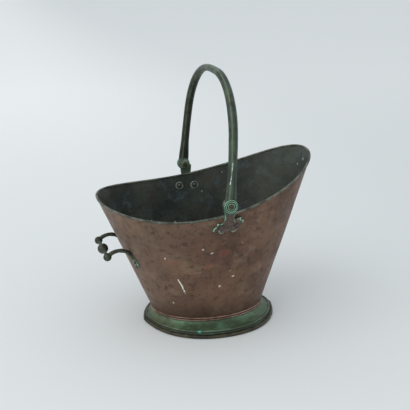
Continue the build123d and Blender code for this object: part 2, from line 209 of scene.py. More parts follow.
def lay_grid(name, points, finishes, loop_u=False, loop_v=False, caps=False, slots=None, sharp=40):
    """Mesh object from points of shape (along u, along v, 3), in metres.

    Each face joins grid places (i, j), (i+1, j), (i+1, j+1), (i, j+1). With caps, the first and
    last rows of u are closed by one face each. Slots gives each v strip its material's number.
    The mesh is turned inside out where its signed volume is negative.
    """
    count_u, count_v = points.shape[:2]
    index = np.arange(count_u * count_v).reshape(count_u, count_v)
    if loop_u:
        index = np.vstack([index, index[:1]])
    if loop_v:
        index = np.hstack([index, index[:, :1]])
    quads = np.stack([index[:-1, :-1], index[1:, :-1], index[1:, 1:], index[:-1, 1:]], -1)
    numbers = np.zeros(quads.shape[:2], int) if slots is None else np.broadcast_to(slots, quads.shape[:2])
    flat = points.reshape(-1, 3)
    faces = quads.reshape(-1, 4)
    first, second, third, fourth = (flat[faces[:, corner]] for corner in range(4))
    volume = (first * np.cross(second, third)).sum() + (first * np.cross(third, fourth)).sum()
    if volume < 0:
        faces = faces[:, ::-1]
    face_list = faces.tolist()
    number_list = numbers.reshape(-1).tolist()
    if caps:
        ring = np.arange(count_v)
        ends = [ring.tolist(), (ring + (count_u - 1) * count_v)[::-1].tolist()]
        face_list += ends if volume < 0 else [end[::-1] for end in ends]
        number_list += [number_list[0]] * 2
    mesh = bpy.data.meshes.new(name)
    mesh.from_pydata(flat.tolist(), [], face_list)
    mesh.polygons.foreach_set("material_index", number_list)
    mesh.shade_smooth()
    mesh.set_sharp_from_angle(angle=math.radians(sharp))
    for finish in finishes:
        mesh.materials.append(finish.material)
    mesh.validate()
    mesh.update()
    made = bpy.data.objects.new(name, mesh)
    bpy.context.collection.objects.link(made)
    print(name, "points:", len(flat), "faces:", len(face_list))
    return made


def through(points, count):
    """Smooth path of count points through a few points: a Catmull-Rom curve, evenly stepped."""
    points = np.asarray(points, float)
    padded = np.vstack([2 * points[0] - points[1], points, 2 * points[-1] - points[-2]])
    place = np.linspace(0, len(points) - 1 - 1e-9, count)
    start = place.astype(int)
    t = (place - start)[:, None]
    before, here, after, beyond = (padded[start + shift] for shift in range(4))
    return 0.5 * (2 * here + (after - before) * t + (2 * before - 5 * here + 4 * after - beyond) * t**2
                  + (3 * here - before - 3 * after + beyond) * t**3)


def circle(count, start=0.0):
    """Cosines and sines of count even turns round a circle."""
    turn = start + np.arange(count) * 2 * np.pi / count
    return np.cos(turn), np.sin(turn)


SIDES = (("front", -1), ("back", 1))


def dress(piece, node, body="bucket"):
    """Let a piece stand for a CAD node and ride on its body."""
    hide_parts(node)
    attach(piece, body)


# %% [markdown]
# The wall is copper sheet, wrapped from an oval base to an egg-shaped mouth with straight lines in
# between, and its rim is one arc seen from the side. A smith could roll it on a cone stake and trim
# it. The same formulas as in the CAD model place every point, so the looks stay on the frame.

# %% Wall formulas in millimetres
SHEET = 1.2
BASE_Z, PLAN_Z = 21.0, 310.0
BASE_X, BASE_LENGTH, BASE_WIDTH, ELLIPSE = 5.0, 101.0, 75.5, 0.5523
MOUTH_X, MOUTH_REAR, MOUTH_FRONT, MOUTH_WIDTH, MOUTH_FULLNESS = -65.7, 154.7, 259.2, 150.4, 0.619
RIM_X, RIM_Z, RIM_RADIUS, RIM_ROLL = -76.70, 738.60, 513.07, 1.9


def quarter(share, fullness, lean=0.0):
    """Cubic quarter outline: along = r^3 + 3 r^2 s (1 - lean) + 3 r s^2 f, with r = 1 - s."""
    rest = 1 - share
    along = rest**3 + 3 * rest**2 * share * (1 - lean) + 3 * rest * share**2 * fullness
    across = 3 * rest**2 * share * fullness + 3 * rest * share**2 + share**3
    return along, across


def around(count):
    """Share of a quarter, x sign and y sign at count places round a plan, from its +X end."""
    place = np.arange(count) * 4 / count
    leg = place.astype(int)
    share = np.where(leg % 2 == 0, place - leg, 1 - (place - leg))
    return share, np.where((leg == 0) | (leg == 3), 1, -1), np.where(leg < 2, 1, -1)


def bucket_xy(places, height, inset=0.0):
    """Plan place on the wall: base and mouth outlines mixed by (z - base) / (plan - base)."""
    share, end, side = places
    level = (height - BASE_Z) / (PLAN_Z - BASE_Z)
    base_along, base_across = quarter(share, ELLIPSE)
    mouth_along, mouth_across = quarter(share, MOUTH_FULLNESS)
    reach = np.where(end > 0, MOUTH_FRONT, MOUTH_REAR) - inset
    x = ((BASE_X + end * (BASE_LENGTH - inset) * base_along) * (1 - level)
         + (MOUTH_X + end * reach * mouth_along) * level)
    y = side * ((BASE_WIDTH - inset) * base_across * (1 - level)
                + (MOUTH_WIDTH - inset) * mouth_across * level)
    return x, y


def rim_height(places, inset):
    """Height of the rim's arc over each plan place: z = Z - sqrt(R^2 - (x - X)^2), repeated."""
    height = np.full(len(places[0]), 240.0)
    for _ in range(30):
        x, _ = bucket_xy(places, height, inset)
        height = RIM_Z - np.sqrt(RIM_RADIUS**2 - (x - RIM_X)**2)
    return height


def wall_y(x, z):
    """Half width of the wall's outer face at x and z, by halving the share of a quarter."""
    low, high = np.zeros_like(x), np.ones_like(x)
    middle_x, _ = bucket_xy((np.ones_like(x), 1, 1), z)
    end = np.where(x > middle_x, 1, -1)
    for _ in range(30):
        middle = (low + high) / 2
        here, _ = bucket_xy((middle, end, 1), z)
        inward = end * here > end * x
        low, high = np.where(inward, middle, low), np.where(inward, high, middle)
    return bucket_xy((middle, end, 1), z)[1]


def unit(vectors):
    """Vectors made one long."""
    return vectors / np.linalg.norm(vectors, axis=-1, keepdims=True)


def ripple(points, seed, waves, shortest, longest):
    """Smooth unevenness of about unit size: a sum of cosines with random directions."""
    rng = np.random.default_rng(seed)
    total = np.zeros(points.shape[:-1])
    for _ in range(waves):
        direction = unit(rng.normal(size=3)) * 2 * np.pi / rng.uniform(shortest, longest)
        total += np.cos(points @ direction + rng.uniform(0, 2 * np.pi))
    return total / math.sqrt(waves / 2)


print("wall half width at the pivots' height:", wall_y(np.array([1.0]), np.array([231.0])).round(1))

# %% [markdown]
# Old copper is never flat. Broad, shallow waves come from the stake and from years of knocks, and a
# few real dents sit on top of them. They're in the mesh, because highlights should bend over them.

# %% Bucket wall with its waves and dents
ROUND = 400
ROWS = 96
places = around(ROUND)
rim_z = rim_height(places, SHEET / 2)
rise = np.linspace(0, 1, ROWS)
heights = BASE_Z + rise * (rim_z[:, None] - BASE_Z)
column = [values[:, None] for values in places]
outer = np.stack([*bucket_xy(column, heights), heights], -1)
outward = unit(np.cross(np.roll(outer, -1, 0) - np.roll(outer, 1, 0), np.gradient(outer, axis=1)))
outward *= np.sign((outward * (outer - [BASE_X, 0, 150])).sum(-1, keepdims=True))

# Dents: centre on the wall, radius and depth in mm
DENTS = (
    (-60, -90, 120, 26, 0.9), (38, -95, 105, 20, 0.6), (95, -70, 180, 24, 0.9), (-20, -104, 160, 30, 0.8),
    (10, -85, 62, 22, 0.7), (-95, -78, 175, 22, 0.8), (62, -98, 160, 16, 0.6), (-40, 95, 120, 26, 1.0),
    (60, 92, 130, 24, 0.9), (-110, 45, 150, 26, 0.8), (150, 20, 220, 24, 0.8), (20, 110, 190, 20, 0.7))
dent = 0.28 * ripple(outer, 3, 40, 70, 200) + 0.07 * ripple(outer, 5, 60, 18, 45)
for x, y, z, radius, depth in DENTS:
    away = ((outer - [x, y, z])**2).sum(-1)
    dent -= depth * np.exp(-away / radius**2)
dent *= np.minimum(1, np.minimum(rise, 1 - rise) * 12)[None, :]
outer_face = outer + outward * dent[..., None]
inner_face = outer_face - outward * SHEET
wall_points = np.concatenate([outer_face, inner_face[:, ::-1]], 1)
print("dents from", dent.min().round(2), "to", dent.max().round(2), "mm")

# %% [markdown]
# A brown patina is copper oxide with a film of dust, so the sheet hardly shines. A painted sheen
# makes it paler towards the left, where it's seen edge on. Redder places are where it was rubbed.
# Inside, damp fuel left a dark green-black verdigris with bluish blotches. Both finishes are layers
# of noise at several sizes.

# %% Patina finishes of the wall


def wire(finish, start, end):
    """Distance in metres to a line between two places in mm: |P - A - (B - A) clamp(t)|."""
    start, end = Vector(start) * MM, Vector(end) * MM
    offset = finish.node("ShaderNodeVectorMath", operation="SUBTRACT")
    finish.put(offset.inputs[0], finish.coordinates)
    offset.inputs[1].default_value = start
    dot = finish.node("ShaderNodeVectorMath", operation="DOT_PRODUCT")
    finish.put(dot.inputs[0], offset.outputs[0])
    dot.inputs[1].default_value = (end - start) / (end - start).length_squared
    share = finish.node("ShaderNodeClamp")
    finish.put(share.inputs[0], dot.outputs["Value"])
    along = finish.node("ShaderNodeVectorMath", operation="SCALE")
    along.inputs[0].default_value = end - start
    finish.put(along.inputs["Scale"], share.outputs[0])
    apart = finish.node("ShaderNodeVectorMath", operation="DISTANCE")
    finish.put(apart.inputs[0], offset.outputs[0])
    finish.put(apart.inputs[1], along.outputs[0])
    return apart.outputs["Value"]


def scratched(finish, lines, scratch, width, wander=0.0012):
    """Layers of pale scratches along lines, each broken up and bent a little by noise."""
    bend = finish.maths("MULTIPLY", finish.noise(0.006, seed=7.7), wander)
    for start, end in lines:
        near = finish.maths("ADD", wire(finish, start, end), bend)
        mark = finish.window(near, width + wander * 0.5, width * 0.4 + wander * 0.5)
        mark = finish.maths("MULTIPLY", mark, finish.window(finish.noise(0.0035, seed=1.3), 0.38, 0.5))
        finish.layer(scratch, mark)


def specks(finish, spacing, size, share, seed=0.0):
    """Mask of small scattered specks, about one in each cell of a Voronoi pattern that is kept."""
    cells = finish.node("ShaderNodeTexVoronoi", voronoi_dimensions="4D")
    finish.put(cells.inputs["Vector"], finish.coordinates)
    cells.inputs["W"].default_value = seed
    cells.inputs["Scale"].default_value = 1 / spacing
    parts = finish.node("ShaderNodeSeparateColor")
    finish.put(parts.inputs[0], cells.outputs["Color"])
    near = finish.window(cells.outputs["Distance"], size / spacing, size / spacing * 0.5)
    return finish.maths("MULTIPLY", near, finish.window(parts.outputs[0], 1 - share, 1 - share + 0.02))


SCRATCHES = (((-73.6, -87.8, 111.4), (-66.3, -86.0, 98.6)), ((-66.3, -86.0, 98.6), (-60.2, -82.8, 83.4)),
             ((-78, -66, 61), (-76, -64.6, 59)), ((20, -95.6, 109), (23, -95.4, 109.6)),
             ((-98, -94, 152), (-97, -94, 156)), ((-23, -111.6, 161), (-20, -111.6, 162)))
CREASES = (((-115, -59, 113.7), (-79.6, -90.1, 123.8)), ((-79.6, -90.1, 123.8), (-38.9, -101.3, 125.2)))
RUBBED = (((-97, -91.5, 148), (-80, -95, 146), 0.010), ((-30, -104.5, 134), (-22, -105, 137), 0.007),
          ((-2, -110, 159), (6, -110, 160), 0.009))

brown = Finish("bucket_copper_outside", (88, 63, 50), metal=0.30, shine=0.35)
broad = brown.noise(0.085, detail=3, seed=0.4)
grain = brown.noise(0.011, detail=8, roughness=0.7, seed=2.1)
brown.layer((118, 89, 71), brown.window(broad, 0.36, 0.66))
brown.blotches((126, 76, 58), 0.026, 0.56, 0.74, 0.6, detail=5, distortion=0.9, seed=5.2)
for start, end, reach in RUBBED:
    ragged = brown.maths("MULTIPLY", brown.noise(0.008, seed=6.1), 0.008)
    frayed = brown.maths("ADD", wire(brown, start, end), ragged)
    brown.layer((142, 84, 70), brown.window(frayed, reach + 0.006, reach * 0.4, 0, 0.6))
# Painted sheen: the wall is made paler towards the left, where it's seen edge on.
brown.layer((126, 104, 86), brown.window(brown.axis("X"), 0.0, -0.13, 0, 0.5))
brown.layer((54, 40, 32), brown.window(grain, 0.47, 0.70, 0, 0.8))
brown.blotches((132, 112, 92), 0.028, 0.51, 0.68, 0.6, detail=7, roughness=0.65, seed=8.8)
drip = brown.noise(0.009, detail=3, vector=brown.stretched((1, 1, 0.12)), seed=3.3)
low = brown.window(brown.axis("Z"), 0.075, 0.030)
brown.layer((74, 58, 50), brown.window(drip, 0.55, 0.75, 0, 0.35))
brown.layer((150, 134, 118), brown.maths("MULTIPLY", brown.window(drip, 0.66, 0.72), low))
brown.layer((70, 56, 48), brown.maths("MULTIPLY", low, 0.35))
brown.blotches((92, 98, 82), 0.02, 0.64, 0.72, 0.35, detail=6, seed=9.9)
brown.layer((206, 190, 170), specks(brown, 0.018, 0.0030, 0.26, 4.0))
brown.layer((48, 38, 32), specks(brown, 0.009, 0.0017, 0.34, 6.0))
scratched(brown, SCRATCHES, (240, 234, 222), width=0.0016)
scratched(brown, CREASES, (134, 104, 86), width=0.0016, wander=0.006)
brown.roughness(0.02, 0.42, 0.58, seed=1.1)
brown.apply((brown.noise(0.024, detail=4, seed=6.4), 0.0011), (grain, 0.00028),
            (brown.noise(0.0018, detail=3, seed=2.9), 0.00006))

green = Finish("bucket_copper_inside", (38, 44, 40), metal=0.12, shine=0.35)
green.blotches((62, 66, 58), 0.06, 0.38, 0.64, seed=1.4)
green.blotches((66, 82, 86), 0.022, 0.50, 0.68, 0.7, detail=6, roughness=0.65, seed=4.4)
green.blotches((64, 54, 43), 0.034, 0.54, 0.70, 0.7, detail=5, seed=7.2)
green.blotches((18, 22, 21), 0.009, 0.50, 0.74, 0.7, detail=7, roughness=0.7, seed=3.6)
green.layer((80, 84, 72), green.window(green.axis("X"), 0.0, 0.19, 0, 0.3))
green.layer((128, 150, 144), specks(green, 0.017, 0.0038, 0.34, 2.0))
green.layer((168, 180, 172), specks(green, 0.012, 0.0024, 0.26, 5.0))
green.roughness(0.015, 0.40, 0.62, seed=5.5)
green.apply((green.noise(0.02, detail=5, seed=6.4), 0.0014),
            (green.noise(0.005, detail=5, seed=0.9), 0.0004))

strip = np.array([0] * ROWS + [1] * (ROWS - 1) + [0])
wall = lay_grid("wall_of_sheet", wall_points * MM, [brown, green], loop_u=True, loop_v=True,
                slots=strip, sharp=60)
dress(wall, "body_shell")

# %% [markdown]
# The rim is the sheet's own edge, rolled over a wire, and handling keeps it paler than the wall. It's
# a round tube along the rim's arc. The band at the foot of the wall is a strip with two rolled
# beads, worn pinkish, with brown copper between them.

# %% Rolled rim and base band


def tube(path, side, half_side, half_up, turns=24):
    """Rings along a path, each with one half width along side and one square to side and path."""
    step = unit(np.gradient(path, axis=0))
    side = unit(side - (side * step).sum(-1, keepdims=True) * step)
    up = np.cross(step, side)
    cosine, sine = circle(turns)
    out_side, out_up = (np.broadcast_to(half, len(path))[:, None, None] for half in (half_side, half_up))
    return (path[:, None] + out_side * cosine[:, None] * side[:, None]
            + out_up * sine[:, None] * up[:, None])


def closed_tube(path, side, radius, turns=18):
    """Rings along a path that ends where it starts."""
    padded = np.concatenate([path[-2:], path, path[:2]])
    return tube(padded, np.concatenate([side[-2:], side, side[:2]]), radius, radius, turns)[2:-2]


rim_x, rim_y = bucket_xy(places, rim_z, SHEET / 2)
rim_path = np.stack([rim_x, rim_y, rim_z], -1)
rim_path += outward[:, -1] * (0.12 * ripple(rim_path, 8, 24, 30, 90))[:, None]
rim_points = closed_tube(rim_path, outward[:, -1], RIM_ROLL)

edge = Finish("rim_patina", (62, 66, 60), metal=0.35, shine=0.4, rough=0.5)
edge.blotches((112, 116, 104), 0.02, 0.38, 0.62, detail=5, seed=1.0)
edge.blotches((84, 62, 50), 0.006, 0.50, 0.70, 0.7, detail=5, seed=4.0)
edge.blotches((122, 148, 132), 0.012, 0.60, 0.72, detail=4, seed=7.0)
edge.apply((edge.noise(0.004, detail=4, seed=3.0), 0.0003))
rim = lay_grid("rim_of_wire", rim_points * MM, [edge], loop_u=True, loop_v=True)
dress(rim, "rolled_rim")

BAND_PROFILE = (    # out from the wall and height above its lower edge
    (0.05, 0.05), (0.9, 0.0), (1.4, 0.35), (1.5, 0.9), (1.35, 1.5), (0.8, 1.8), (0.62, 2.2), (0.6, 3.2),
    (0.62, 4.3), (0.8, 4.7), (1.3, 5.0), (1.45, 5.6), (1.3, 6.2), (0.8, 6.5), (0.05, 6.5))
band_rows = through(BAND_PROFILE, 60)
band_points = np.stack([np.stack([*bucket_xy(places, BASE_Z + height, -out),
                                  np.full(ROUND, BASE_Z + height)], -1) for out, height in band_rows])
beads = Finish("band_copper", (90, 62, 50), metal=0.35, shine=0.4, rough=0.48)
height = beads.axis("Z")
upper = beads.window(beads.apart(height, 0.0267), 0.0011, 0.0004)
lower = beads.window(beads.apart(height, 0.0219), 0.0011, 0.0004)
worn = beads.maths("MULTIPLY", beads.maths("MAXIMUM", upper, lower),
                   beads.window(beads.noise(0.013, detail=5, seed=2.0), 0.36, 0.58, 0.25, 1))
beads.blotches((110, 80, 66), 0.02, 0.4, 0.65, detail=6, seed=6.0)
beads.layer((190, 158, 142), worn)
beads.blotches((100, 134, 118), 0.018, 0.62, 0.70, 0.7, detail=4, seed=9.0)
beads.apply((beads.noise(0.003, detail=4, seed=3.0), 0.00025))
band = lay_grid("beaded_band", band_points * MM, [beads], loop_u=True, loop_v=True)
dress(band, "base_band")

# %% [markdown]
# The foot is thin brass, stamped in two halves that meet in a point at each end. Its cross-section
# falls in a hollow curve, then runs over a bead and two creases before the rolled edge. Each half
# is one cross-section carried along half of the plan, which is how a stamping changes little.

# %% Foot halves
FOOT_X, FOOT_LENGTH, FOOT_WIDTH, FOOT_FULLNESS, FOOT_LEAN = 8.4, 119.9, 104.4, 0.584, 0.081
FOOT_COUNT, SKIRT_COUNT = 220, 90


def foot_half(share, inset, side):
    """Half of the foot's plan from its rear end to its front end, at a share of the way out."""
    length = BASE_LENGTH + (FOOT_LENGTH - BASE_LENGTH) * share - inset
    width = BASE_WIDTH + (FOOT_WIDTH - BASE_WIDTH) * share - inset
    centre = BASE_X + (FOOT_X - BASE_X) * share
    place = np.linspace(-1, 1, FOOT_COUNT)
    along, across = quarter(1 - np.abs(place), ELLIPSE + (FOOT_FULLNESS - ELLIPSE) * share, FOOT_LEAN * share)
    return np.stack([centre + np.sign(place) * length * along, side * width * across], -1)


SKIRT_STEPS = ((0.0, 1.0), (0.12, 0.75), (0.32, 0.53), (0.55, 0.385), (0.685, 0.33), (0.715, 0.37),
               (0.76, 0.41), (0.81, 0.38), (0.845, 0.30), (0.875, 0.24), (0.895, 0.13), (0.90, 0.02))
SKIRT_LOW, SKIRT_TOP, ROLL = 6.25, 20.95, 3.1
SKIRT_INSET, SKIRT_DROP = 0.9, 1.2      # from the sheet's upper face to its lower one
skirt_rows = through(SKIRT_STEPS, SKIRT_COUNT)
skirt_z = SKIRT_LOW + (SKIRT_TOP - SKIRT_LOW) * skirt_rows[:, 1]

teal = Finish("foot_brass_patina", (66, 82, 60), metal=0.22, shine=0.4)
tone = teal.tone()
streak = teal.noise(0.022, detail=6, roughness=0.62, vector=teal.stretched((0.55, 1, 1)), seed=2.6)
teal.layer((100, 130, 102), teal.window(streak, 0.40, 0.62))
teal.blotches((70, 138, 118), 0.03, 0.55, 0.68, 0.75, detail=5, seed=6.6)
teal.layer((84, 78, 50), teal.window(teal.axis("X"), -0.055, -0.10, 0, 0.6))
teal.layer((64, 66, 46), teal.window(teal.axis("X"), 0.055, 0.11, 0, 0.65))
teal.blotches((36, 42, 33), 0.007, 0.5, 0.72, 0.6, detail=7, roughness=0.7, seed=9.1)
for middle, spread, shade in ((0.70, 0.03, 0.95), (0.87, 0.035, 1.0), (0.02, 0.05, 0.55)):
    groove = teal.apart(tone, middle)
    teal.layer((30, 32, 25), teal.window(groove, spread, spread * 0.35, 0, shade))
spot = wire(teal, (-38, -94, 13), (-34, -86, 18))
teal.layer((84, 168, 156), teal.window(spot, 0.0055, 0.0022, 0, 0.85))
teal.roughness(0.012, 0.38, 0.56, seed=3.9)
teal.apply((teal.noise(0.012, detail=5, seed=1.9), 0.0008), (teal.noise(0.003, detail=4, seed=4.2), 0.0002))

dark = Finish("foot_roll_patina", (40, 37, 29), metal=0.2, shine=0.4, rough=0.5)
dark.blotches((68, 64, 46), 0.02, 0.4, 0.62, detail=6, seed=2.2)
dark.blotches((92, 92, 62), 0.008, 0.56, 0.70, detail=5, seed=5.8)
dark.apply((dark.noise(0.004, detail=4, seed=3.0), 0.0004))


def add_tone(piece, values):
    """Store one number a point for the finishes, such as how near a place is to its piece's edge."""
    piece.data.attributes.new("tone", "FLOAT", "POINT").data.foreach_set("value", np.ravel(values))


def skirt_face(side, inset, drop):
    """One face of a stamped half, inset and lowered from the drawn section."""
    return np.stack([np.column_stack([foot_half(share, inset, side), np.full(FOOT_COUNT, z - drop)])
                     for share, z in zip(skirt_rows[:, 0], skirt_z)], 1)


for name, side in SIDES:
    above, below = skirt_face(side, 0, 0), skirt_face(side, SKIRT_INSET, SKIRT_DROP)
    below[..., 2] = np.maximum(below[..., 2], SKIRT_LOW)
    worn_skirt = 0.15 * ripple(above, 12, 30, 30, 90)[..., None] * [0, 0, 1] * (1 - skirt_rows[:, 0])[:, None]
    skirt = lay_grid(f"foot_curve_{name}", np.concatenate([above + worn_skirt, below[:, ::-1]], 1) * MM,
                     [teal], loop_v=True, caps=True, sharp=50)
    steps = np.concatenate([skirt_rows[:, 0], skirt_rows[::-1, 0]])
    add_tone(skirt, np.broadcast_to(steps, (FOOT_COUNT, 2 * SKIRT_COUNT)))
    dress(skirt, f"foot_skirt_{name}")
    line = np.column_stack([foot_half(1, 0, side), np.full(FOOT_COUNT, ROLL)])
    roll = lay_grid(f"foot_edge_{name}", tube(line, [0.0, 0.0, 1.0], ROLL, ROLL, 28) * MM,
                    [dark], loop_v=True, caps=True)
    dress(roll, f"foot_roll_{name}")

# %% [markdown]
# The floor pan is a dish with a turned-up flange, soldered inside the wall. It can't be seen in the
# photograph, so it's plain and dark. Its section runs from the middle out, up the flange, over its
# edge and back underneath, so it stays one closed surface.

# %% Floor pan
PAN_Z, PAN_SHEET, FLANGE, PAN_INSET = 25.0, 1.5, 9.0, 1.3
pan_floor = PAN_Z + PAN_SHEET
pan_section = [(share, PAN_INSET + PAN_SHEET, pan_floor) for share in (0.03, 0.3, 0.6, 0.85, 0.96, 0.99)]
pan_section += [(1, PAN_INSET + PAN_SHEET, pan_floor + up) for up in (0.6, 3.0, 7.2)]
pan_section += [(1, PAN_INSET + 0.7, PAN_Z + FLANGE), (1, PAN_INSET, PAN_Z + FLANGE - 0.5),
                (1, PAN_INSET, PAN_Z + 0.6)]
pan_section += [(share, PAN_INSET, PAN_Z) for share in (0.99, 0.9, 0.6, 0.3, 0.03)]
PAN_COUNT = 200
pan_places = around(PAN_COUNT)
rows = []
for share, inset, z in pan_section:
    x, y = bucket_xy(pan_places, z, inset)
    rows.append(np.stack([BASE_X + (x - BASE_X) * share, y * share, np.full(PAN_COUNT, z)], -1))
dull = Finish("pan_patina", (36, 41, 38), metal=0.1, rough=0.6)
dull.blotches((64, 62, 54), 0.03, 0.4, 0.65, detail=6)
dull.apply((dull.noise(0.015, detail=5), 0.001))
pan = lay_grid("pan_dish", np.stack(rows) * MM, [dull], loop_v=True, caps=True)
dress(pan, "floor_pan")

# %% [markdown]
# The bail is a cast brass rod bent to a narrow hoop, with an oval section that widens towards each
# pivot and ends in a turned boss with rings. Three tangent arcs describe half of it. It's green-black
# where it's handled least, and bare streaks run along it. Its far half is painted darker as shade,
# and a painted highlight and a painted shade run along it, so that colour follows the section.

# %% Bail rod
PIVOT = np.array([1.0, 0.0, 250.5])
LEAN = math.radians(4)
SWING = np.array([math.cos(LEAN), 0, -math.sin(LEAN)])      # square to the bail's plane
RISE = np.array([math.sin(LEAN), 0, math.cos(LEAN)])
BAIL_FACE, BAIL_OUT = 132.9, 142.3
LEG_X, LEG_RADIUS, BAIL_HEIGHT = 137.6, 526.0, 199.0
ROD_TURNS = 40
first, second = math.radians(12.2), math.radians(86.5)

# The shoulder's and crown's radii are the two unknowns of two linear equations
system = np.array([[math.cos(first) - math.cos(second), math.cos(second)],
                   [math.sin(second) - math.sin(first), 1 - math.sin(second)]])
wanted = [LEG_X - LEG_RADIUS * (1 - math.cos(first)), BAIL_HEIGHT - LEG_RADIUS * math.sin(first)]
shoulder, crown = np.linalg.solve(system, wanted)
print("shoulder and crown radii in mm:", round(shoulder, 1), round(crown, 1))


def arc(centre, radius, start, end, count):
    """Places on an arc: centre + radius (cos a, sin a)."""
    turn = np.linspace(start, end, count)[:, None]
    return np.array(centre) + radius * np.concatenate([np.cos(turn), np.sin(turn)], 1)


leg_centre = np.array([LEG_X - LEG_RADIUS, 0])
leg = arc(leg_centre, LEG_RADIUS, 0.004, first, 70)
shoulder_centre = leg[-1] - shoulder * np.array([math.cos(first), math.sin(first)])
bend = arc(shoulder_centre, shoulder, first, second, 90)
crown_centre = bend[-1] - crown * np.array([math.cos(second), math.sin(second)])
top = arc(crown_centre, crown, second, math.pi / 2, 8)
half = np.concatenate([leg, bend[1:], top[1:]])
whole = np.concatenate([half, half[-2::-1] * [-1, 1]])
rod_path = PIVOT + whole[:, :1] * np.array([0, 1, 0]) + whole[:, 1:] * RISE
from_pivot = np.minimum(np.arange(len(whole)), np.arange(len(whole))[::-1])
leg_share = np.clip((half[np.minimum(from_pivot, len(half) - 1), 1] - 9) / 40, 0, 1)
leg_share = leg_share**2 * (3 - 2 * leg_share)
rod_width = 9.6 + (7.5 - 9.6) * leg_share
rod_depth = 4.55 + (5.75 - 4.55) * leg_share
uneven = 1 + 0.012 * ripple(rod_path, 21, 16, 40, 120)
rod_points = tube(rod_path, SWING, rod_width * uneven, rod_depth * uneven, ROD_TURNS)

rod = Finish("bail_patina", (44, 55, 45), metal=0.25, shine=0.45)
tone = rod.tone()
lengthwise = rod.noise(0.007, detail=5, vector=rod.stretched((1, 0.5, 0.14)), seed=1.7)
rod.blotches((68, 82, 67), 0.03, 0.40, 0.62, detail=5, seed=3.1)
# Painted shade: the far half of the bail, towards +Y, is made darker and browner.
rod.layer((50, 46, 37), rod.window(rod.axis("Y"), 0.0, 0.10, 0, 0.75))
rod.layer((94, 110, 86), rod.window(lengthwise, 0.54, 0.70, 0, 0.5))
rod.blotches((34, 40, 34), 0.012, 0.54, 0.70, 0.75, detail=6, seed=8.3)
rod.blotches((96, 74, 52), 0.02, 0.60, 0.68, 0.5, detail=5, seed=5.3)
# Painted highlight and painted shade: pale and dark bluish stripes along the rod, at set places round its
# section.
pale = rod.apart(tone, -0.42)
blue = rod.apart(tone, 0.32)
broken = rod.window(rod.noise(0.014, detail=4, seed=7.0), 0.34, 0.56, 0.3, 1)
rod.layer((104, 120, 96), rod.maths("MULTIPLY", rod.window(pale, 0.26, 0.06, 0, 0.75), broken))
rod.layer((30, 40, 43), rod.maths("MULTIPLY", rod.window(blue, 0.22, 0.08, 0, 0.85), broken))
scratched(rod, (((-1, -141, 288), (1.5, -141, 303)), ((1.5, -141, 303), (4, -139, 322))),
          (226, 232, 222), width=0.0011)
rod.roughness(0.01, 0.34, 0.54, seed=3.9)
rod.apply((rod.noise(0.014, detail=4, seed=1.9), 0.0007), (lengthwise, 0.0003),
          (rod.noise(0.0025, detail=4, seed=4.2), 0.00016))
bail = lay_grid("bail_rod", rod_points * MM, [rod], loop_v=True, caps=True)
cosine, _ = circle(ROD_TURNS)
add_tone(bail, np.broadcast_to(cosine, (len(whole), ROD_TURNS)))
dress(bail, "bail", "bail")

# %% [markdown]
# Bosses, pins, washers and rivets were turned or hammered, so each is one profile spun about its
# axis. A profile is a list of radius and distance along the axis. The boss has two raised rings and
# two grooves. Verdigris gathers pale on the rings and dark in the grooves.

# %% Turned pieces


def turned(name, profile, origin, axis, finishes, count=72, samples=0, closed=False):
    """Surface turned about an axis from a profile of (radius, along) points in mm, with its radii as tone."""
    profile = through(profile, samples) if samples else np.array(profile, float)
    axis = unit(np.array(axis, float))
    across = unit(np.cross(axis, [0.3, 0.2, 1.0] if abs(axis[2]) < 0.9 else [1.0, 0, 0]))
    beside = np.cross(axis, across)
    cosine, sine = circle(count)
    radii = np.maximum(profile[:, 0], 0.02)
    spokes = cosine[:, None] * across + sine[:, None] * beside
    points = np.array(origin, float) + profile[:, 1, None, None] * axis + radii[:, None, None] * spokes
    made = lay_grid(name, points * MM, finishes, loop_u=closed, loop_v=True, caps=not closed)
    add_tone(made, np.repeat(radii, count))
    return made


mint = Finish("boss_verdigris", (58, 76, 62), metal=0.2, shine=0.4, rough=0.46)
tone = mint.tone()
mint.blotches((84, 106, 88), 0.012, 0.4, 0.62, detail=5, seed=2.0)
outer_side = mint.window(mint.maths("ABSOLUTE", mint.axis("Y")), 0.1395, 0.1412, 0.15, 1)
crumbs = mint.window(mint.noise(0.005, detail=5, roughness=0.65, seed=4.0), 0.30, 0.52, 0.35, 1)
crumbs = mint.maths("MULTIPLY", crumbs, outer_side)
for radius, reach, shade in ((10.9, 0.75, 0.7), (8.3, 0.65, 0.9), (5.0, 0.7, 0.95)):
    ring = mint.window(mint.apart(tone, radius), reach, reach * 0.4, 0, shade)
    mint.layer((150, 196, 168), mint.maths("MULTIPLY", ring, crumbs))
for radius, reach in ((9.75, 0.55), (6.8, 0.85), (3.7, 0.5)):
    groove = mint.window(mint.apart(tone, radius), reach, reach * 0.4, 0, 0.92)
    mint.layer((28, 34, 28), mint.maths("MULTIPLY", groove, outer_side))
mint.apply((mint.noise(0.004, detail=4, seed=1.0), 0.0004))

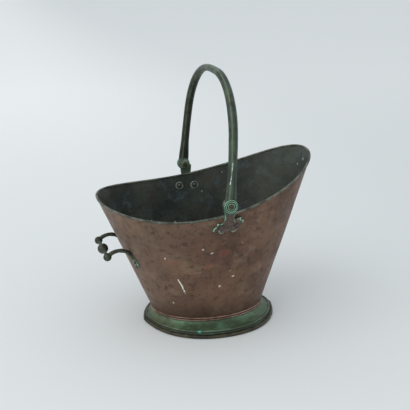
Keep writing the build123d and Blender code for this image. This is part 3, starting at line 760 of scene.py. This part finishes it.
BOSS_PROFILE = [(3.46, BAIL_FACE), (10.9, BAIL_FACE), (11.4, BAIL_FACE + 0.6), (11.4, BAIL_OUT - 0.4),
                (11.1, BAIL_OUT + 0.15), (10.4, BAIL_OUT + 0.2), (9.9, BAIL_OUT - 0.1), (9.6, BAIL_OUT + 0.1),
                (9.1, BAIL_OUT + 0.85), (8.3, BAIL_OUT + 1.0), (7.7, BAIL_OUT + 0.75), (7.3, BAIL_OUT),
                (6.6, BAIL_OUT - 0.2), (6.1, BAIL_OUT + 0.1), (5.8, BAIL_OUT + 0.6), (4.9, BAIL_OUT + 0.65),
                (3.9, BAIL_OUT + 0.3), (3.46, BAIL_OUT)]
olive = Finish("pin_olive", (44, 44, 32), metal=0.25, rough=0.5)
tone = olive.tone()
olive.blotches((78, 76, 54), 0.006, 0.4, 0.64, detail=5, seed=1.0)
olive.layer((74, 54, 40), olive.window(tone, 3.0, 2.4, 0, 0.8))
olive.layer((120, 150, 126), olive.window(tone, 4.1, 4.6, 0, 0.35))
olive.apply((olive.noise(0.003, detail=4, seed=1.0), 0.0003))
ringed = Finish("washer_pale", (140, 152, 140), metal=0.3, rough=0.45)
tone = ringed.tone()
ringed.blotches((62, 72, 62), 0.008, 0.42, 0.62, 0.8, detail=5, seed=6.0)
ringed.layer((46, 56, 48), ringed.window(tone, 6.2, 5.6))
ringed.apply((ringed.noise(0.003, detail=4, seed=1.0), 0.0002))

PIN_PROFILE = [(0.02, 124.65), (3.0, 124.6), (5.6, 124.75), (6.7, 125.1), (7.2, 125.7), (7.2, 126.7),
               (3.4, 126.75), (3.4, 142.8), (4.9, 142.8), (4.7, 143.4), (3.7, 143.75), (3.4, 143.6),
               (3.1, 144.0), (2.0, 144.6), (0.02, 144.8)]
WASHER_PROFILE = [(3.45, 126.8), (8.9, 126.8), (9.4, 127.0), (9.4, 127.6), (9.2, 127.75), (3.45, 127.75)]
for name, side in SIDES:
    axis = (0, side, 0)
    boss = turned(f"bail_boss_{name}", BOSS_PROFILE, PIVOT, axis, [mint], 96, closed=True)
    dress(boss, "bail", "bail")
    dress(turned(f"pivot_{name}", PIN_PROFILE, PIVOT, axis, [olive]), f"pivot_pin_{name}")
    dress(turned(f"pivot_washer_{name}", WASHER_PROFILE, PIVOT, axis, [ringed], closed=True),
          f"pin_washer_{name}")

# %% [markdown]
# Each lug is a casting: a neck over the rim, wings that end in a hook and a point, and two round
# lobes that hold the rivets. It was filed little, so the edge is a raised, pale line. The surface is
# spread between a drawn outline and a T-shaped spine, and a share from 0 at the spine to 1 at the
# edge gives both the height and the colour.

# %% Lugs on the wall
LUG_X = 3.0
SEAT = 0.05             # gap left for solder or a pressed joint
WALL_TOP = 231          # height up to which the lug follows the wall
NECK_FACE, NECK_BACK = 128.2, 128.1
LOBES = ((-10.4, 207.4), (10.4, 207.8))
LUG_OUTLINE = (     # x from the lug's middle, and height, round the lug as seen from the front
    (-10.2, 249.5), (-10.2, 239), (-9.0, 232), (-8.4, 226.5), (-9.4, 221.5), (-12, 218.2), (-15.6, 217.2),
    (-18.6, 218.6), (-20.6, 218.0), (-20.8, 214.8), (-22.8, 212.2), (-26.2, 209.6), (-27.2, 205.6),
    (-24.2, 203.6), (-20.4, 205.4), (-18.2, 203.8), (-14.6, 200.2), (-10, 199), (-5.6, 200.4),
    (-2.4, 203.6), (0, 204.4), (2.4, 203.7), (5.6, 200.5), (10, 199.2), (14.4, 200.6), (17.4, 204.4),
    (18.8, 208.8), (22.4, 211.8), (26.6, 214.6), (27.6, 218.6), (24.6, 219.8), (22.4, 221.6),
    (21.4, 225.2), (18.8, 225.6), (17.0, 221.6), (13.6, 219.0), (10.2, 221.8), (8.5, 226.8), (9.0, 232),
    (10.2, 239), (10.2, 249.5), (5, 250.5), (-5, 250.5))


def smooth(value, low, high):
    """Soft step from 0 at low to 1 at high: t^2 (3 - 2 t)."""
    t = np.clip((value - low) / (high - low), 0, 1)
    return t * t * (3 - 2 * t)


ring = np.array(LUG_OUTLINE + LUG_OUTLINE[:1])
outline = through(ring, 420)[:-1]
neck = smooth(outline[:, 1], 213, 224)[:, None]
bar = np.column_stack([np.clip(outline[:, 0] * 0.72, -17, 17), 209.5 + outline[:, 0] * 0.12])
stem = np.column_stack([np.zeros(len(outline)), np.clip(outline[:, 1], 214, 244)])
spine = bar * (1 - neck) + stem * neck
edge_share = np.concatenate([np.linspace(0.02, 0.7, 14), np.linspace(0.74, 0.94, 9), np.linspace(0.96, 1, 5)])
flat = spine[None] + (outline - spine)[None] * edge_share[:, None, None]
flat_x, flat_z = LUG_X + flat[..., 0], flat[..., 1]
share = np.broadcast_to(edge_share[:, None], flat_x.shape)
rounded = np.sqrt(np.clip(1 - share**10, 0, 1))
relief = 2.3 * rounded + 0.8 * np.exp(-((share - 0.86) / 0.07)**2)
for lobe_x, lobe_z in LOBES:
    away = np.hypot(flat[..., 0] - lobe_x, flat[..., 1] - lobe_z)
    relief += 0.9 * np.exp(-(away / 5.2)**2) * rounded - 0.45 * np.exp(-((away - 6.6) / 0.9)**2) * rounded
on_wall = wall_y(flat_x, np.minimum(flat_z, WALL_TOP))
over_rim = smooth(flat_z, 221, 233)
front_face = (on_wall + SEAT + relief) * (1 - over_rim) + (NECK_FACE + 3.9 * rounded) * over_rim
under_rim = smooth(flat_z, 223, 229)
behind = (on_wall + SEAT) * (1 - under_rim) + NECK_BACK * under_rim
cast = Finish("lug_verdigris", (84, 66, 56), metal=0.22, shine=0.4, rough=0.48)
tone = cast.tone()
cast.blotches((98, 84, 78), 0.012, 0.4, 0.6, detail=5, seed=2.4)
cast.blotches((52, 46, 42), 0.006, 0.52, 0.68, 0.7, detail=6, seed=5.4)
crust = cast.window(cast.noise(0.006, detail=5, roughness=0.65, seed=8.4), 0.38, 0.56)
fringe = cast.maths("MULTIPLY", cast.window(tone, 0.74, 0.90), crust)
cast.layer((150, 198, 170), fringe)
cast.layer((54, 80, 64), cast.window(tone, 0.975, 1.0, 0, 0.7))
cast.layer((176, 208, 190), cast.window(wire(cast, (-11.5, -124, 209), (-13, -124, 205.5)), 0.0022,
                                        0.0010, 0, 0.7))
cast.layer((66, 88, 72), cast.window(cast.axis("Z"), 0.2275, 0.236, 0, 0.8))
cast.apply((cast.noise(0.007, detail=5, seed=1.0), 0.0008), (cast.noise(0.002, detail=4, seed=4.0), 0.0002))

EYE_TONE = 0.6
EYE_PROFILE = [(3.45, 127.8), (9.4, 127.8), (10.2, 128.4), (10.2, 131.6), (9.6, 132.4), (3.45, 132.4)]
for name, side in SIDES:
    rows_out = np.stack([flat_x, side * front_face, flat_z], -1)
    rows_in = np.stack([flat_x, side * behind, flat_z], -1)
    lug = lay_grid(f"lug_casting_{name}", np.concatenate([rows_out, rows_in[::-1]]) * MM, [cast],
                   loop_v=True, caps=True, sharp=65)
    add_tone(lug, np.concatenate([share, share[::-1]]))
    dress(lug, f"lug_{name}")
    eye = turned(f"lug_eye_{name}", EYE_PROFILE, PIVOT, (0, side, 0), [cast], closed=True)
    eye.data.attributes["tone"].data.foreach_set("value", np.full(len(eye.data.vertices), EYE_TONE))
    dress(eye, f"lug_{name}")

# %% [markdown]
# Rivets hold the lugs and the small handle. Outside they have flat domed heads, and inside each is
# clenched over a washer. Each stands square to the wall, so its axis comes from the wall's slope,
# found by small steps of the wall formula.

# %% Rivets and washers


STEP_ALONG = np.array([0, 1.0, -1.0, 0, 0])     # a place, and one step each way, for slopes
STEP_UP = np.array([0, 0, 0, 1.0, -1.0])


def wall_place(x, z):
    """Place on the wall's outer face at y > 0 and its outward direction."""
    y, lip, rear, above, below = wall_y(x + STEP_ALONG, z + STEP_UP)
    return np.array([x, y, z]), unit(np.array([(rear - lip) / 2, 1.0, (below - above) / 2]))


def rear_x(y, z):
    """x of the wall's rear half at y and z, by halving the share of a quarter."""
    y, z = np.broadcast_arrays(np.asarray(y, float), np.asarray(z, float))
    low, high = np.zeros(y.shape), np.ones(y.shape)
    for _ in range(40):
        middle = (low + high) / 2
        _, here = bucket_xy((middle, -1, 1), z)
        low, high = np.where(here < y, middle, low), np.where(here < y, high, middle)
    return bucket_xy((middle, -1, 1), z)[0]


def rear_place(y, z):
    """Place on the wall's rear and its outward direction."""
    x, outer, inner, above, below = rear_x(y + STEP_ALONG, z + STEP_UP)
    return np.array([x, y, z]), unit(np.array([-1.0, (outer - inner) / 2, (above - below) / 2]))


grey = Finish("rivet_grey_copper", (84, 72, 70), metal=0.3, rough=0.5)
grey.blotches((58, 52, 48), 0.005, 0.42, 0.6, detail=5, seed=1.0)
grey.apply((grey.noise(0.003, detail=4, seed=1.0), 0.0003))
clench = Finish("rivet_inside", (44, 58, 50), metal=0.2, rough=0.5)
clench.blotches((66, 80, 68), 0.004, 0.42, 0.6, detail=5, seed=1.0)
clench.apply((clench.noise(0.003, detail=4, seed=1.0), 0.0003))


def rivet(name, place, outward, node, burr_node, radius, head, rise, seat, burr):
    """Domed head, shank and clenched end on one axis, and the washer under the clenched end."""
    end = -SHEET * 0.93 - 1.27
    shank = [(0.02, end - rise), (0.9 * radius, end - 0.75 * rise), (1.4 * radius, end - 0.02), (radius, end)]
    shank += [(radius, seat), (head, seat), (0.94 * head, seat + 0.4 * rise),
              (0.62 * head, seat + 0.85 * rise), (0.02, seat + rise)]
    metal = grey if node.startswith("lug") else clench
    dress(turned(name, shank, place, outward, [metal], 36), node)
    hole, face = radius + SEAT, end + SEAT
    washer = [(hole, face + 1.0), (burr, face + 1.0), (burr, face + 0.5), (burr - 0.5, face), (hole, face)]
    washer_name = name.replace("rivet", "washer")
    dress(turned(washer_name, washer, place, outward, [ringed], 48, closed=True), burr_node)


mirror_y = np.array([1, -1, 1])
for name, flip in (("front", mirror_y), ("back", 1)):
    for label, x in (("rear", -11.5), ("lip", 17.5)):
        place, outward_here = wall_place(x, 211.0)
        rivet(f"lug_rivet_{name}_{label}", place * flip, outward_here * flip, f"lug_rivets_{name}",
              f"lug_burrs_{name}", 2.4, 4.6, 1.8, 3.1, 7.4)
    for label, z in (("high", 133.0), ("low", 125.5)):
        place, outward_here = rear_place(42.0, z)
        rivet(f"leaf_rivet_{name}_{label}", place * flip, outward_here * flip, f"leaf_rivets_{name}",
              f"leaf_burrs_{name}", 1.5, 2.8, 1.2, 2.3, 3.5)

# %% [markdown]
# The tipping handle is a turned grip with a ball, held between two arms that arch away from
# leaf-shaped plates. The arms are thinner in the middle, as forged ones are. The leaves are pale
# with dark spots, and the arms are olive-black with a little blue-green where water stayed.

# %% Tipping handle
KNOB = np.array([-183.7, 42.0, 148.1])
ARM_COUNT = 60


def three_point_arc(first, middle, last, count):
    """Places on the circle through three (x, z) pairs, from the first to the last."""
    (ax, az), (bx, bz), (cx, cz) = first, middle, last
    area = 2 * (ax * (bz - cz) + bx * (cz - az) + cx * (az - bz))
    a, b, c = ax**2 + az**2, bx**2 + bz**2, cx**2 + cz**2
    centre = np.array([(a * (bz - cz) + b * (cz - az) + c * (az - bz)) / area,
                       (a * (cx - bx) + b * (ax - cx) + c * (bx - ax)) / area])
    turns = np.unwrap([math.atan2(z - centre[1], x - centre[0]) for x, z in (first, middle, last)])
    return arc(centre, math.hypot(ax - centre[0], az - centre[1]), turns[0], turns[2], count)


brass = Finish("handle_patina", (34, 42, 32), metal=0.25, shine=0.45, rough=0.44)
brass.blotches((64, 70, 48), 0.012, 0.4, 0.62, detail=6, seed=2.0)
brass.blotches((78, 124, 108), 0.008, 0.56, 0.68, 0.8, detail=5, seed=5.0)
brass.blotches((96, 84, 54), 0.004, 0.58, 0.70, 0.6, detail=5, seed=8.0)
brass.apply((brass.noise(0.008, detail=4, seed=1.0), 0.0006),
            (brass.noise(0.002, detail=4, seed=4.0), 0.0002))
leafy = Finish("leaf_pale_verdigris", (134, 154, 134), metal=0.2, rough=0.5)
tone = leafy.tone()
leafy.blotches((56, 62, 48), 0.006, 0.44, 0.58, detail=5, seed=3.0)
leafy.layer((40, 42, 32), leafy.window(tone, 0.80, 0.96, 0, 0.85))
leafy.apply((leafy.noise(0.004, detail=4, seed=1.0), 0.0005))

root_x = float(rear_x(KNOB[1], 143.0))
arm_middle = ((KNOB[0] + root_x) / 2, 157.3)
arm_curve = three_point_arc((root_x + 1.0, 139.9), arm_middle, (KNOB[0], KNOB[2]), ARM_COUNT)
arm_share = np.linspace(0, 1, ARM_COUNT)
arm_radius = 3.7 - 0.5 * np.sin(np.pi * arm_share)**2 + 0.5 * np.exp(-((arm_share - 0.5) / 0.05)**2)
leaf_turn = np.arange(120) * np.pi / 60
leaf_edge = np.concatenate([np.linspace(0.02, 0.8, 12), np.linspace(0.84, 1, 8)])[:, None]
leaf_y = KNOB[1] + 7.5 * leaf_edge * np.cos(leaf_turn) * (1 - 0.10 * np.sin(leaf_turn))
leaf_z = 135.25 + 13.75 * leaf_edge * np.sin(leaf_turn)
leaf_share = np.broadcast_to(leaf_edge, leaf_y.shape)
leaf_base = rear_x(leaf_y, leaf_z)
leaf_height = 2.0 * np.sqrt(1 - leaf_share**6) + 0.35 * np.exp(-((leaf_share - 0.8) / 0.08)**2)
BALL = [(0.02, 7), (2.6, 6.5), (4.9, 4.95), (6.4, 2.8), (7, 0), (6.4, -2.8), (4.9, -4.95), (2.6, -6.5),
        (0.02, -7)]
for name, side in SIDES:
    line = np.column_stack([arm_curve[:, 0], np.full(ARM_COUNT, side * KNOB[1]), arm_curve[:, 1]])
    arm = lay_grid(f"handle_arch_{name}", tube(line, [0.0, 1.0, 0.0], arm_radius, arm_radius, 28) * MM,
                   [brass], loop_v=True, caps=True)
    dress(arm, f"handle_arm_{name}")
    knob = turned(f"handle_knob_{name}", BALL, KNOB * [1, side, 1], (0, 1, 0), [brass], 48, samples=40)
    dress(knob, f"handle_arm_{name}")
    face = np.stack([leaf_base - SEAT - leaf_height, side * leaf_y, leaf_z], -1)
    rear = np.stack([leaf_base - SEAT, side * leaf_y, leaf_z], -1)
    leaf = lay_grid(f"handle_leaf_{name}", np.concatenate([face, rear[::-1]]) * MM, [leafy],
                    loop_v=True, caps=True)
    add_tone(leaf, np.concatenate([leaf_share, leaf_share[::-1]]))
    dress(leaf, f"handle_arm_{name}")

GRIP = [(0.02, -34.9), (3.4, -34.9), (3.4, -33.8), (4.3, -33.2), (4.3, -31.8), (3.4, -31.2), (2.9, -26),
        (2.8, -20), (3.3, -14), (4.5, -13.4), (4.7, -12.5), (4.3, -11.6), (3.6, -11.1), (3.7, -10.2),
        (5.6, -8.2), (7.8, -5.2), (9.0, -2), (9.2, 0)]
grip_profile = GRIP + [(radius, -along) for radius, along in GRIP[-2::-1]]
grip = turned("handle_turned_grip", grip_profile, KNOB * [1, 0, 1], (0, 1, 0), [brass], 64)
dress(grip, "handle_grip")

# %% [markdown]
# The picture was taken on a plain pale sheet in soft light from the upper left. So the floor is one
# big matt plane with painted light far away and painted shade to the right, the sky is an even pale
# grey, and one broad lamp on the left adds the faint shadow.

# %% Floor, sky and lamp
floor_mesh = bpy.data.meshes.new("studio_floor")
FLOOR = 16.0
floor_mesh.from_pydata([(-FLOOR, -FLOOR, 0), (FLOOR, -FLOOR, 0), (FLOOR, FLOOR, 0), (-FLOOR, FLOOR, 0)], [],
                       [(0, 1, 2, 3)])
floor = bpy.data.objects.new("studio_floor", floor_mesh)
bpy.context.collection.objects.link(floor)
paper = Finish("studio_paper", (228, 231, 232), rough=0.9, shine=0.1)
# Painted light makes the floor lighter far away, and painted shade makes it darker to the right.
painted_light_far = paper.window(paper.axis("Y"), 0.1, 2.6)
painted_shade_right = paper.window(paper.axis("X"), -0.1, 1.0)
paper.layer((252, 253, 253), painted_light_far)
paper.layer((214, 218, 220), paper.maths("MULTIPLY", painted_shade_right, 0.5))
paper.apply()
floor_mesh.materials.append(paper.material)

world = bpy.data.worlds.new("soft_sky")
world.use_nodes = True
sky = world.node_tree.nodes["Background"]
sky.inputs["Color"].default_value = (0.86, 0.90, 0.92, 1)
sky.inputs["Strength"].default_value = 0.88
bpy.context.scene.world = world

lamp_data = bpy.data.lights.new("window_lamp", "AREA")
lamp_data.shape = "RECTANGLE"
lamp_data.size, lamp_data.size_y = 3.2, 3.0
lamp_data.energy = 36
lamp_data.color = (1.0, 0.985, 0.96)
lamp = bpy.data.objects.new("window_lamp", lamp_data)
lamp.location = (-2.3, -0.9, 2.6)
lamp.rotation_euler = (Vector((0, 0, 0.15)) - lamp.location).to_track_quat("-Z", "Y").to_euler()
bpy.context.collection.objects.link(lamp)
